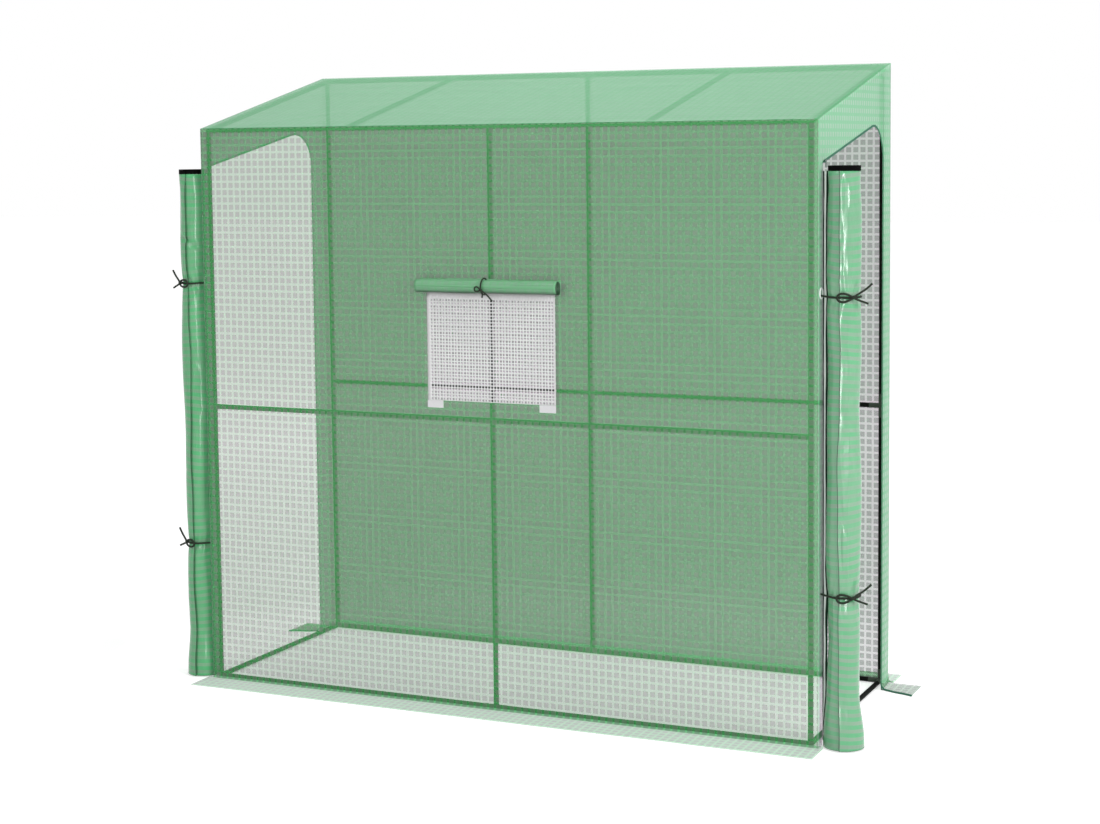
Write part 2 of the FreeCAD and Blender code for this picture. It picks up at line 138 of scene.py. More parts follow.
def blendValue(tree, share, a, b):
    return addNode(tree, "ShaderNodeMix", {0: share, 2: a, 3: b}, data_type="FLOAT").outputs[0]


def mapRange(tree, value, low, high, first=0.0, last=1.0, kind="LINEAR"):
    inputs = {0: value, 1: low, 2: high, 3: first, 4: last}
    return addNode(tree, "ShaderNodeMapRange", inputs, interpolation_type=kind).outputs[0]


def separate(tree, vector):
    return addNode(tree, "ShaderNodeSeparateXYZ", {0: vector}).outputs


def behindFilms(tree, count):
    # 1 where the ray has come through more films than this; a film has two clear faces
    depth = addNode(tree, "ShaderNodeLightPath").outputs["Transparent Depth"]
    return maths(tree, "GREATER_THAN", depth, 2 * count + 0.5)


def whiteBehind(tree, front=0.0):
    # White, or the tint of it that is left behind one film or more
    tint = blendColour(tree, front, (*room["throughOne"], 1), (*room["frontTint"], 1))
    one = blendColour(tree, behindFilms(tree, 0), (1, 1, 1, 1), tint)
    return blendColour(tree, behindFilms(tree, 1), one, (*room["throughMore"], 1))


def seenDirectly(tree):
    # 1 where the camera looks, also by a mirror or through glass
    path = addNode(tree, "ShaderNodeLightPath")
    seen = maths(tree, "MAXIMUM", path.outputs["Is Camera Ray"], path.outputs["Is Glossy Ray"])
    return maths(tree, "MAXIMUM", seen, path.outputs["Is Transmission Ray"])


def makeRoom():
    world = bpy.data.worlds.new("room")
    scene.world = world
    world.use_nodes = True
    tree = world.node_tree
    seen = seenDirectly(tree)
    setInputs(tree, tree.nodes["Background"],
              {"Color": blendColour(tree, seen, (1, 1, 1, 1), whiteBehind(tree)),
               "Strength": blendValue(tree, seen, room["skyLight"], 1.0)})

    size = room["floorSize"] / 2
    corners = [(-size, -size, 0), (size, -size, 0), (size, size, 0), (-size, size, 0)]
    mesh = bpy.data.meshes.new("floor")
    mesh.from_pydata(corners, [], [(0, 1, 2, 3)])
    floor = addObject("floor", mesh)
    floor.location.z = -room["floorDepth"]
    paint, tree, shader = newMaterial("floorPaint")
    mesh.materials.append(paint)
    place = addNode(tree, "ShaderNodeTexCoord").outputs["Object"]
    white = whiteBehind(tree, mapRange(tree, separate(tree, place)[1], *room["frontFloor"]))
    far = addNode(tree, "ShaderNodeVectorMath", {0: place}, operation="LENGTH").outputs["Value"]
    lifts = [mapRange(tree, far, *room[key]) for key in ("shadeLift", "farLift")]
    glow = maths(tree, "MULTIPLY", seenDirectly(tree), maths(tree, "ADD", *lifts))
    setInputs(tree, shader, {
        "Base Color": blendColour(tree, room["floorColour"], (0, 0, 0, 1), white),
        "Roughness": room["floorRoughness"], "Emission Color": white, "Emission Strength": glow})
    for name, lamp in lamps.items():
        placeLamp(name, lamp)
    scene.view_settings.view_transform = "Standard"


placeCamera(camera)
makeRoom()
print("stage: camera and room")


# Sizes that several pieces share, read from the frame

frontLow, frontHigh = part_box("front_film")
roofLow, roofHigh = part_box("roof_film")
flapLow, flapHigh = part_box("window_flap_roll")
patchLow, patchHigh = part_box("window_fastener_patches")
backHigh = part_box("back_film")[1]
rollFoot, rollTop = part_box("right_door_roll")[0].z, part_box("right_door_hem")[0].z
endX, frontY, backY = frontHigh.x, frontLow.y, backHigh.y
roofRise = (roofHigh.z - frontHigh.z) / (backY - frontY)
roofSlope = math.atan2(roofHigh.z - roofLow.z, roofHigh.y - roofLow.y)
flapRadius = (flapHigh.y - flapLow.y) / 2
sides = {"left": -1.0, "right": 1.0}


def roofTop(y):
    return frontHigh.z + (y - frontY) * roofRise


# Mesh helpers: every new surface is a grid of points worked out by numpy

circle = 2 * math.pi


def stack(*parts):
    # Coordinates side by side, each spread over the whole grid
    return np.stack(np.broadcast_arrays(*parts), -1)


def surface(name, points, uv=None, keep=None, flip=False, closed=False):
    # Quads between a grid's points; keep picks them, flip turns them over, closed joins the sides
    rows, columns = points.shape[:2]
    r, c = np.meshgrid(np.arange(rows - 1), np.arange(columns if closed else columns - 1),
                       indexing="ij")
    d, below, above = (c + 1) % columns, r * columns, (r + 1) * columns
    faces = stack(below + c, below + d, above + d, above + c)
    faces = (faces[..., ::-1] if flip else faces).reshape(-1, 4)
    if keep is not None:
        faces = faces[keep.ravel()]
    used, faces = np.unique(faces, return_inverse=True)
    faces = faces.reshape(-1, 4)
    mesh = bpy.data.meshes.new(name)
    mesh.vertices.add(len(used))
    mesh.vertices.foreach_set("co", points.reshape(-1, 3)[used].astype(np.float32).ravel())
    mesh.loops.add(faces.size)
    mesh.loops.foreach_set("vertex_index", faces.astype(np.int32).ravel())
    mesh.polygons.add(len(faces))
    mesh.polygons.foreach_set("loop_start", np.arange(0, faces.size, 4, dtype=np.int32))
    mesh.polygons.foreach_set("use_smooth", np.full(len(faces), True))
    if uv is not None:
        layer = mesh.uv_layers.new(name="cloth")
        layer.data.foreach_set("uv", uv.reshape(-1, 2)[used][faces].astype(np.float32).ravel())
    mesh.update(calc_edges=True)
    mesh.validate()
    return addObject(name, mesh)


def thicken(piece, thickness, inside=0):
    wall = piece.modifiers.new("wall", "SOLIDIFY")
    wall.thickness, wall.offset, wall.use_rim, wall.use_even_offset = thickness, -1.0, True, False
    wall.material_offset = inside
    return piece


def stations(low, high, step, cuts=()):
    # Places about one step apart, with some exactly at the cuts
    marks = [low, *sorted(cuts), high]
    runs = [np.linspace(a, b, max(2, round((b - a) / step) + 1))[:-1]
            for a, b in zip(marks, marks[1:])]
    return np.concatenate([*runs, [high]])


def middles(x):
    return (x[:-1, :-1] + x[1:, 1:]) / 2


def smoothStep(x):
    x = np.clip(x, 0.0, 1.0)
    return x * x * (3 - 2 * x)


spread = {"reach": (0.5, 1.3), "width": (0.6, 1.5), "bend": (-0.5, 0.5), "height": (0.3, 1.0),
          "blunt": 0.3, "wave": (0.6, 1.8), "swells": 9}  # how far creases and swells differ


def creases(u, v, seed, area, count, height, length, width, lean=(0.0, math.pi)):
    # Sharp ridges of random place and direction, each exp(-|across| / width), fading at its ends
    random, total = np.random.default_rng(seed), 0.0
    for _ in range(count):
        cu, cv = random.uniform(area[0], area[1]), random.uniform(area[2], area[3])
        angle = random.uniform(*lean)
        reach = length * random.uniform(*spread["reach"])
        sharp = width * random.uniform(*spread["width"])
        bend = random.uniform(*spread["bend"])
        along = (u - cu) * math.cos(angle) + (v - cv) * math.sin(angle)
        across = (v - cv) * math.cos(angle) - (u - cu) * math.sin(angle) + bend * along ** 2
        lift = height * random.uniform(*spread["height"])
        away = np.sqrt(across ** 2 + (spread["blunt"] * sharp) ** 2)
        total += lift * np.exp(-away / sharp - (along / reach) ** 2)
    return total


def billows(u, v, seed, wave):
    # Slow, wide swells: a sum of sines in random directions, between -1 and 1
    random, total = np.random.default_rng(seed), 0.0
    for _ in range(spread["swells"]):
        angle, phase = random.uniform(0, circle, 2)
        k = circle / (wave * random.uniform(*spread["wave"]))
        total += np.sin((u * math.cos(angle) + v * math.sin(angle)) * k + phase)
    return total / spread["swells"]


def ripple(waves, tall, turn=0.0, sign=1.0):
    # A sum of sines, each with its height, its rates along and round the piece, and its start
    return sum(height * np.sin(tall * along + turn * around + start * sign)
               for height, along, around, start in waves)


# Film: a woven grid of dense lines between clearer squares

weave = {"pitch": 0.0245, "line": 0.3, "soft": 0.03, "cellShade": 0.86, "cellShare": 0.5,
         "blotchScale": 16.0, "blotchDetail": 3.0, "blotchStretch": (1.0, 1.0, 0.6),
         "blotchRange": (0.42, 0.68, 0.0, 0.75), "blotchLine": 0.5,
         "insideFade": 0.004, "edgeFade": 0.6, "crinkleScale": 38.0, "crinkleDetail": 5.0,
         "crinkleGain": 4.0, "ridge": 0.2, "woundRidge": 0.03, "bump": (0.35, 0.002)}
# line: its share of the pitch; cellShade: how dark a square may be; blotch: where bands fade


def filmGridGroup():
    group = bpy.data.node_groups.new("filmGrid", "ShaderNodeTree")
    face = group.interface
    face.new_socket("Place", in_out="INPUT", socket_type="NodeSocketVector")
    for name in ("Pitch", "Line", "Soft"):
        socket = face.new_socket(name, in_out="INPUT", socket_type="NodeSocketFloat")
        socket.default_value = weave[name.lower()]
    for name in ("Lines", "Cell", "Height"):
        face.new_socket(name, in_out="OUTPUT", socket_type="NodeSocketFloat")
    given = addNode(group, "NodeGroupInput").outputs
    half = maths(group, "MULTIPLY", given["Line"], 0.5)
    low = maths(group, "SUBTRACT", maths(group, "SUBTRACT", 0.5, half), given["Soft"])
    high = maths(group, "MULTIPLY_ADD", given["Soft"], 2.0, low)
    masks, cells = [], []
    for place in separate(group, given["Place"])[:2]:
        scaled = maths(group, "DIVIDE", place, given["Pitch"])
        off = maths(group, "SUBTRACT", maths(group, "FRACT", scaled), 0.5)
        off = maths(group, "ABSOLUTE", off)
        masks.append(mapRange(group, off, low, high, kind="SMOOTHSTEP"))
        cells.append(maths(group, "FLOOR", scaled))
    cell = addNode(group, "ShaderNodeCombineXYZ", dict(enumerate(cells))).outputs[0]
    noise = addNode(group, "ShaderNodeTexWhiteNoise", {"Vector": cell}, noise_dimensions="2D")
    addNode(group, "NodeGroupOutput", {"Lines": maths(group, "MAXIMUM", *masks),
                                       "Cell": noise.outputs["Value"],
                                       "Height": maths(group, "ADD", *masks)})
    return group


filmGrid = filmGridGroup()


def grain(tree, scale, detail, place):
    inputs = {"Vector": place, "Scale": scale, "Detail": detail}
    return addNode(tree, "ShaderNodeTexNoise", inputs).outputs[0]


def objectPlace(tree, stretch=(1.0, 1.0, 1.0)):
    place = addNode(tree, "ShaderNodeTexCoord").outputs["Object"]
    return addNode(tree, "ShaderNodeMapping", {"Vector": place, "Scale": stretch}).outputs[0]


def bump(tree, height, strength, distance):
    inputs = {"Height": height, "Strength": strength, "Distance": distance}
    return addNode(tree, "ShaderNodeBump", inputs).outputs[0]


film = {"width": 0.3, "roughness": 0.34, "crinkle": 0.25, "shine": 0.35}
groundFilm = {**film, "alphas": (0.46, 0.54), "roughness": 0.45, "shine": 0.3}
woundFilm = {"width": 0.52, "roughness": 0.19, "crinkle": 0.12, "edge": (0.0026, 0.3)}
filmLooks = {
    "outerFilm": {**film, "line": (0.083, 0.485, 0.138), "square": (0.148, 0.283, 0.16),
                  "alphas": (0.5, 0.64)},
    # the inner faces: the same cloth with darker squares, as painted shade inside the cover
    "innerFilm": {**film, "line": (0.078, 0.5, 0.158), "square": (0.042, 0.265, 0.09),
                  "alphas": (0.5, 0.7), "roughness": 0.5, "shine": 0.15,
                  "across": ((0.08, 0.38, 0.2), (0.22, 0.25, 0.265))},
    # the end walls: the same cloth painted lighter, as painted light where the lamps fall on them
    "endFilm": {**film, "line": (0.2, 0.73, 0.34), "square": (0.33, 0.61, 0.41),
                "alphas": (0.54, 0.66), "width": 0.42, "roughness": 0.3, "shine": 0.5},
    "roofFilm": {**film, "line": (0.088, 0.42, 0.17), "square": (0.128, 0.4, 0.2),
                 "alphas": (0.58, 0.61)},
    # flaps: the front and back ones painted lighter, as painted light where they lie in shade; the
    # end ones painted darker, as painted shade where the lamp lights them
    "groundFilm": {**groundFilm, "line": (0.26, 0.82, 0.37), "square": (0.22, 0.47, 0.28)},
    "endGroundFilm": {**groundFilm, "line": (0.1, 0.5, 0.17), "square": (0.08, 0.27, 0.12)},
    "rolledFilm": {**woundFilm, "line": (0.09, 0.355, 0.162), "square": (0.19, 0.312, 0.218),
                   "shine": 0.75},
    "shadedRollFilm": {**woundFilm, "line": (0.078, 0.378, 0.15), "square": (0.165, 0.335, 0.2),
                       "shine": 0.35},
    "flapFilm": {**film, "line": (0.119, 0.335, 0.166), "square": (0.148, 0.33, 0.19),
                 "roughness": 0.3, "crinkle": 0.2, "inside": (0.15, 0.25),
                 "shade": (flapLow.z + 0.002, flapLow.z + 0.0125, 0.12)},
}
# alphas: how dense the lines and the squares are, left out where the cloth is wound up
# across: the colours of lines and squares where one film is seen across another
# edge: a dark line painted along the free edge as the shadow under it, its width and shade
# inside: the arc along the roll from which the inner turns are painted darker as painted shade, and
# that shade
# shade: painted shade on the underside, darker from one height to another, and how dark


def paintShade(tree, colour, value, low, high, shade):
    # Painted shade: from one value to another the colour goes from a share of itself to the whole
    level = mapRange(tree, value, low, high, shade)
    return blendColour(tree, level, (0, 0, 0, 1), colour)


def filmMaterial(name, look):
    made, tree, shader = newMaterial(name)
    place = addNode(tree, "ShaderNodeUVMap", uv_map="cloth").outputs[0]
    along, up = separate(tree, place)[:2]
    if "edge" in look:
        # Wound in many layers, the cloth shows only the bands that run round the roll
        place = addNode(tree, "ShaderNodeCombineXYZ", {0: weave["pitch"] / 2, 1: up}).outputs[0]
    grid = addNode(tree, "ShaderNodeGroup", {"Place": place, "Line": look["width"]},
                   node_tree=filmGrid).outputs
    line, square = (*look["line"], 1), (*look["square"], 1)
    darker = (*[v * weave["cellShade"] for v in look["square"]], 1)
    differs = maths(tree, "MULTIPLY", grid["Cell"], weave["cellShare"])
    square = blendColour(tree, differs, square, darker)
    if "across" in look:
        across = behindFilms(tree, 0)
        line, square = [blendColour(tree, across, near, (*far, 1))
                        for near, far in zip((line, square), look["across"])]
    lines, ridge = grid["Lines"], weave["ridge"]
    if "edge" in look:
        blotch = grain(tree, weave["blotchScale"], weave["blotchDetail"],
                       objectPlace(tree, weave["blotchStretch"]))
        blotch = mapRange(tree, blotch, *weave["blotchRange"])
        lines = blendValue(tree, blotch, lines, weave["blotchLine"])
        ridge = weave["woundRidge"]
    colour = blendColour(tree, lines, square, line)
    # Painted shade on the flap's underside, from one height to another
    if "shade" in look:
        colour = paintShade(tree, colour, separate(tree, objectPlace(tree))[2], *look["shade"])
        # Painted shade on the inner turns of the flap's roll
        start, shade = look["inside"]
        colour = paintShade(tree, colour, up, start + weave["insideFade"], start, shade)
    # Painted shadow: a dark line along the free edge of the wound cloth
    if "edge" in look:
        width, shade = look["edge"]
        colour = paintShade(tree, colour, along, width * weave["edgeFade"], width, shade)
    if "alphas" in look:
        lineAlpha, squareAlpha = look["alphas"]
        alpha = blendValue(tree, grid["Lines"], squareAlpha, lineAlpha)
        facing = addNode(tree, "ShaderNodeNewGeometry").outputs["Backfacing"]
        front = maths(tree, "SUBTRACT", 1.0, facing)
        setInputs(tree, shader, {"Alpha": maths(tree, "MULTIPLY", alpha, front)})
    crinkle = grain(tree, weave["crinkleScale"], weave["crinkleDetail"], objectPlace(tree))
    ridges = maths(tree, "MULTIPLY", grid["Height"], ridge)
    height = maths(tree, "MULTIPLY_ADD", crinkle, look["crinkle"] * weave["crinkleGain"], ridges)
    setInputs(tree, shader, {
        "Base Color": colour, "Roughness": look["roughness"], "Specular IOR Level": look["shine"],
        "Normal": bump(tree, height, *weave["bump"])})
    return made


# Other finishes: two colours mixed by a grain, roughness, the grain's scale, its depth, shine

finishes = {
    "blackCoat": ((0.004, 0.005, 0.004), (0.008, 0.009, 0.008), 0.55, 900.0, 0.0002, 0.03),
    "connectorPlastic": ((0.025, 0.038, 0.027), (0.04, 0.055, 0.04), 0.5, 500.0, 0.0003, 0.25),
    "netThread": ((0.66, 0.65, 0.66), (0.61, 0.6, 0.61), 0.7, 1500.0, 0.0003, 0.1),
    "patchTape": ((0.635, 0.63, 0.645), (0.58, 0.575, 0.595), 0.85, 1800.0, 0.0006, 0.1),
    "zipTape": ((0.015, 0.09, 0.052), (0.03, 0.13, 0.08), 0.6, 1400.0, 0.0004, 0.2),
    "zipSlider": ((0.02, 0.07, 0.05), (0.03, 0.09, 0.06), 0.3, 300.0, 0.0002, 0.5, 0.4),
    "hemTape": ((0.0015, 0.0015, 0.0015), (0.004, 0.004, 0.004), 0.85, 1500.0, 0.0004, 0.04),
    "tieCord": ((0.01, 0.014, 0.009), (0.03, 0.04, 0.028), 0.75, 900.0, 0.0008, 0.15),
    "ringPlastic": ((0.85, 0.88, 0.86), (0.8, 0.84, 0.82), 0.25, 200.0, 0.0001, 0.5),
}  # the slider's last number makes it partly metal
grained = {"detail": 6.0, "roughLess": 0.12, "roughMore": 0.25, "bump": 0.4}
# the seam's dark colour is painted shade in its crevices; its middle colour is a painted reflection
seamLook = {"dark": (0.012, 0.035, 0.022), "paintedSheen": (0.88, 0.9, 0.88), "roughness": 0.22,
            "middle": 0.48, "halfWidths": (0.37, 0.25), "ragged": 0.3, "raggedScale": 14.0,
            "bumpScale": 60.0, "detail": 4.0, "bump": 0.3, "depth": 0.0006}


def plainMaterial(name, colour, second, roughness, scale, depth, shine, metallic=0.0):
    made, tree, shader = newMaterial(name)
    spots = grain(tree, scale, grained["detail"], objectPlace(tree))
    low = roughness - grained["roughLess"]
    setInputs(tree, shader, {
        "Base Color": blendColour(tree, spots, (*colour, 1), (*second, 1)),
        "Roughness": maths(tree, "MULTIPLY_ADD", spots, grained["roughMore"], low),
        "Metallic": metallic, "Specular IOR Level": shine,
        "Normal": bump(tree, spots, grained["bump"], depth)})
    return made


def seamMaterial(name, look):
    # Dark edges painted as the shade in the crevices beside the seam, and a pale middle painted as
    # a glossy reflection that comes and goes along the seam
    made, tree, shader = newMaterial(name)
    place = addNode(tree, "ShaderNodeUVMap", uv_map="cloth").outputs[0]
    away = maths(tree, "SUBTRACT", separate(tree, place)[0], look["middle"])
    noise = grain(tree, look["raggedScale"], look["detail"], place)
    ragged = maths(tree, "MULTIPLY", noise, look["ragged"])
    away = maths(tree, "ADD", maths(tree, "ABSOLUTE", away), ragged)
    middle = mapRange(tree, away, *look["halfWidths"], kind="SMOOTHSTEP")
    height = grain(tree, look["bumpScale"], look["detail"], place)
    setInputs(tree, shader, {
        "Base Color": blendColour(tree, middle, (*look["dark"], 1), (*look["paintedSheen"], 1)),
        "Roughness": look["roughness"],
        "Normal": bump(tree, height, look["bump"], look["depth"])})
    return made


materials = {name: filmMaterial(name, look) for name, look in filmLooks.items()}
materials.update({name: plainMaterial(name, *finish) for name, finish in finishes.items()})
materials["seamShadeAndSheen"] = seamMaterial("seamShadeAndSheen", seamLook)


def dress(piece, body, material, slot, *nodes):
    piece.data.materials.clear()
    for name in material.split():
        piece.data.materials.append(materials[name])
    if nodes:
        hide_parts(*nodes)
    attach(piece, body)
    return piece


def dressNodes():
    kinds = (("connector", "connectorPlastic"), ("zip_tape", "zipTape"), ("door_hem", "hemTape"),
             ("zip_slider", "zipSlider"), ("door_rings", "ringPlastic"), ("patches", "patchTape"))
    for name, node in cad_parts.items():
        chosen = next((material for word, material in kinds if word in name), "blackCoat")
        node.data.materials.clear()
        node.data.materials.append(materials[chosen])


dressNodes()
print("stage: materials")


# Ties: each is two cords that meet in a knot, a bow's loop and two tails

tie = {
    "diameter": 0.0065, "heights": (1.368, 0.467), "radius": 0.0509, "wrapOut": 0.0006,
    "knotAngle": -45.0, "knotOut": 0.00455, "knotSize": 0.0054, "knotTilt": 0.6,
    "loopOut": 0.0071,
    "loop": ((8.0, 0.0052), (20.0, 0.0108), (34.0, 0.013), (45.0, 0.0096), (50.0, 0.0)),
    "longTail": ((0.017, 0.011, 0.013), (0.035, 0.022, 0.025), (0.05, 0.031, 0.041)),
    "shortTail": ((0.014, 0.007, -0.007), (0.029, 0.014, -0.013), (0.041, 0.02, -0.018)),
    "frontLead": ((1.0885, -0.384, 0.003), (1.1015, -0.3905, 0.002), (1.115, -0.3968, 0.001)),
    "frontAngles": (-112, -96, -80, -64),
    "backLead": ((1.0885, -0.343, 0.0), (1.0975, -0.333, 0.0)),
    "backAngles": (140, 122, 104, 86, 68, 50, 32, 14, -4, -22),
}
windowTie = {
    "diameter": 0.005, "x": -0.008, "wrapOut": 0.0032,
    "knotAngle": -20.0, "knotOut": 0.0058, "knotSize": 0.00385, "knotTilt": 0.2,
    "longTail": ((0.015, -0.003, -0.007), (0.031, -0.004, -0.02), (0.044, -0.004, -0.034)),
    "shortTail": ((0.007, -0.003, -0.005), (0.01, -0.005, -0.014), (0.009, -0.006, -0.024)),
    "bow": ((-0.004, -0.004, 0.007), (-0.012, -0.003, 0.0125), (-0.02, -0.003, 0.007),
            (-0.0185, -0.003, -0.003), (-0.009, -0.003, -0.0045)),
    "frontAngles": (148, 126, 104, 82, 60, 38, 16, 0),
    "backAngles": (-140, -120, -98, -76, -54, -36),
}
# wrapOut, knotOut, loopOut: how far out from the roll; loop: the bow's angles and rises
# frontLead, backLead: the way from the wall to the roll; the angles go on round it
knot = {"steps": 96, "sides": 12, "flat": 0.9, "strand": 0.42, "guide": (0.3, 0.2, 0.93)}
cordShape = {"rings": 4, "steps": 8}
rollAxis = (1.15, -0.357)


def cordCurve(name, points, diameter):
    data = bpy.data.curves.new(name, "CURVE")
    data.dimensions, data.bevel_depth, data.use_fill_caps = "3D", diameter / 2, True
    data.bevel_resolution, data.resolution_u = cordShape["rings"], cordShape["steps"]
    spline = data.splines.new("NURBS")
    spline.points.add(len(points) - 1)
    spline.points.foreach_set("co", np.column_stack([points, np.ones(len(points))]).ravel())
    spline.order_u = 3
    spline.use_endpoint_u = True
    spline.resolution_u = cordShape["steps"]
    return addObject(name, data)


def cordLength(piece):
    # Measured along the cord's own spline, on a copy without its thickness
    bare = piece.copy()
    bare.data = piece.data.copy()
    bare.data.bevel_depth = 0.0
    mesh = bpy.data.meshes.new_from_object(bare)
    points = np.empty(len(mesh.vertices) * 3)
    mesh.vertices.foreach_get("co", points)
    bpy.data.meshes.remove(mesh)
    bpy.data.curves.remove(bare.data)
    return float(np.linalg.norm(np.diff(points.reshape(-1, 3), axis=0), axis=1).sum())


def unit(vectors):
    return vectors / np.linalg.norm(vectors, axis=1, keepdims=True)


def knotMesh(name, centre, radius, strand, tilt):
    # A trefoil's line, (sin t + 2 sin 2t, cos t - 2 cos 2t, -sin 3t), with a round section on it
    t = np.linspace(0, circle, knot["steps"] + 1)[:-1]
    line = stack(np.sin(t) + 2 * np.sin(2 * t), np.cos(t) - 2 * np.cos(2 * t), -np.sin(3 * t)) / 3
    line *= np.array([radius, radius, radius * knot["flat"]])
    line = line @ np.array(Matrix.Rotation(tilt, 3, "X")).T
    ahead = unit(np.roll(line, -1, 0) - np.roll(line, 1, 0))
    side = unit(np.cross(ahead, np.array(knot["guide"])))
    up = np.cross(side, ahead)
    a = np.linspace(0, circle, knot["sides"] + 1)[:-1, None]
    points = line[:, None] + strand * (np.cos(a) * side[:, None] + np.sin(a) * up[:, None])
    points = np.concatenate([points, points[:1]]) + np.array(centre)
    piece = surface(name, points, closed=True, flip=True)
    work = bmesh.new()
    work.from_mesh(piece.data)
    bmesh.ops.remove_doubles(work, verts=work.verts, dist=1e-6)
    bmesh.ops.recalc_face_normals(work, faces=work.faces)
    work.to_mesh(piece.data)
    work.free()
    return piece


def tieUp(name, body, node, look, centre, front, back, sign=1.0):
    # The knot and the two cords that meet in it, mirrored for the left door
    mirror = (sign, 1, 1)
    bundle = knotMesh(f"{name}_knot", centre * mirror, look["knotSize"],
                      look["diameter"] * knot["strand"], look["knotTilt"])
    dress(bundle, body, "tieCord", "tie_cord", node)
    for part, route in (("front", front), ("back", back)):
        route = np.array(route) * mirror
        piece = cordCurve(f"{name}_tie_{part}", route, look["diameter"])
        dress(piece, body, "tieCord", "tie_cord", node)
        cordLength(piece)


def doorTie(side, sign, label, height):
    def onRoll(angle, out, rise=0.0):
        a, r = math.radians(angle), tie["radius"] + out
        return (rollAxis[0] + r * math.cos(a), rollAxis[1] + r * math.sin(a), height + rise)

    centre = np.array(onRoll(tie["knotAngle"], tie["knotOut"]))
    longTail, shortTail = [[centre + o for o in tie[key]] for key in ("longTail", "shortTail")]
    lower, upper = [[onRoll(tie["knotAngle"] - a, tie["loopOut"], way * rise)
                     for a, rise in tie["loop"]] for way in (-1, 1)]
    over, under = [[*[(x, y, height + rise) for x, y, rise in tie[lead]],
                    *[onRoll(a, tie["wrapOut"]) for a in tie[wrap]]]
                   for lead, wrap in (("frontLead", "frontAngles"), ("backLead", "backAngles"))]
    tieUp(f"{side}_{label}", f"{side}_door", f"{side}_door_ties", tie, centre,
          [*over, centre, *longTail],
          [*under, centre, *lower, *upper[-2::-1], centre, *shortTail], sign)


def windowTies():
    middle = np.array([windowTie["x"], flapLow.y + flapRadius, flapLow.z + flapRadius])

    def around(angle, out):
        a, r = math.radians(angle), flapRadius + out
        return middle + (0.0, -r * math.cos(a), r * math.sin(a))

    centre = around(windowTie["knotAngle"], windowTie["knotOut"])
    longTail, shortTail, bow = [[centre + o for o in windowTie[key]]
                                for key in ("longTail", "shortTail", "bow")]
    over, under = [[around(a, windowTie["wrapOut"]) for a in windowTie[key]]
                   for key in ("frontAngles", "backAngles")]
    tieUp("window", "window_flap", "window_tie", windowTie, centre, [*over, centre, *longTail],
          [*under, centre, *bow, centre, *shortTail])


for side, sign in sides.items():
    for label, height in zip(("upper", "lower"), tie["heights"]):
        doorTie(side, sign, label, height)
windowTies()
print("stage: ties")


# Cover: five walls of film, each a thin closed sheet with its own creases

cover = {
    "thickness": 0.001, "step": 0.012, "swell": 0.0012, "wave": 0.9, "edgeFade": 0.07,
    "creases": (46, 0.0016, 0.34, 0.014), "longCreases": (12, 0.00224, 0.7, 0.03, (0.9, 2.2)),
    "seeds": {"front": 11, "back": 23, "roof": 37, "right": 51, "left": 67},
    "backTop": 0.0002, "backLoose": 1.6, "endLoose": 0.7, "endFade": 1.5,
    "endHeight": 2.08, "endArea": 0.51,
}
# creases: their number, height, length and width, and the range of their directions
# endArea: the end wall's cut with its hem turned in
window = {"low": patchHigh.z, "high": flapLow.z + 0.006,
          "halfWidth": (patchHigh.x - patchLow.x) / 2}
doorway = {"front": -0.36, "back": 0.31, "frontHeight": 1.764, "rise": 0.2, "corner": 0.11,
           "cornerStart": -0.19, "cornerSteps": 22, "rows": (146, 20)}


def loosen(u, v, fade, seed, area):
    # Creases and slow swells that fade out towards the panel's edges
    lift = creases(u, v, seed, area, *cover["creases"])
    lift += creases(u, v, seed + 1, area, *cover["longCreases"])
    swell = (billows(u, v, seed + 2, cover["wave"]) + 1) * cover["swell"]
    return (lift + swell) * smoothStep(fade / cover["edgeFade"])


def panel(name, points, uv, look, node, keep=None, flip=False):
    piece = thicken(surface(name, points, uv, keep, flip), cover["thickness"], inside=1)
    return dress(piece, "root", f"{look} innerFilm", "green_film", node)


def frontPanel():
    low, high, half = window["low"], window["high"], window["halfWidth"]
    middle, halfHeight = (low + high) / 2, (high - low) / 2
    x = stations(-endX, endX, cover["step"], (-half, half))
    z = stations(0.0, frontHigh.z - cover["thickness"], cover["step"], (low, high))
    u, v = np.meshgrid(x, z)
    hole = (np.abs(middles(u)) < half) & (np.abs(middles(v) - middle) < halfHeight)
    toWindow = np.maximum(np.abs(u) - half, np.abs(v - middle) - halfHeight)
    edge = np.minimum.reduce([endX - np.abs(u), v, z[-1] - v, np.maximum(toWindow, 0.0)])
    lift = loosen(u, v, edge, cover["seeds"]["front"], (-endX, endX, 0.0, z[-1]))
    points = stack(u, frontY - lift, v)
    piece = panel("front_panel", points, stack(u, v), "outerFilm", "front_film", ~hole)


def backPanel():
    x = stations(-endX, endX, cover["step"])
    z = stations(0.0, backHigh.z - cover["backTop"], cover["step"])
    u, v = np.meshgrid(x, z)
    edge = np.minimum.reduce([endX - np.abs(u), v, z[-1] - v])
    lift = loosen(u, v, edge, cover["seeds"]["back"], (-endX, endX, 0.0, z[-1]))
    points = stack(u, backY + lift * cover["backLoose"], v)
    piece = panel("back_panel", points, stack(u, v), "outerFilm", "back_film", flip=True)


def roofPanel():
    x = stations(-endX, endX, cover["step"])
    y = stations(frontY, backY, cover["step"])
    u, w = np.meshgrid(x, y)
    edge = np.minimum.reduce([endX - np.abs(u), w - frontY, backY - w])
    lift = loosen(u, w, edge, cover["seeds"]["roof"], (-endX, endX, frontY, backY))
    points = stack(u, w - lift * math.sin(roofSlope), roofTop(w) + lift * math.cos(roofSlope))
    along = (w - frontY) / math.cos(roofSlope)
    piece = panel("roof_panel", points, stack(u, along), "roofFilm", "roof_film")


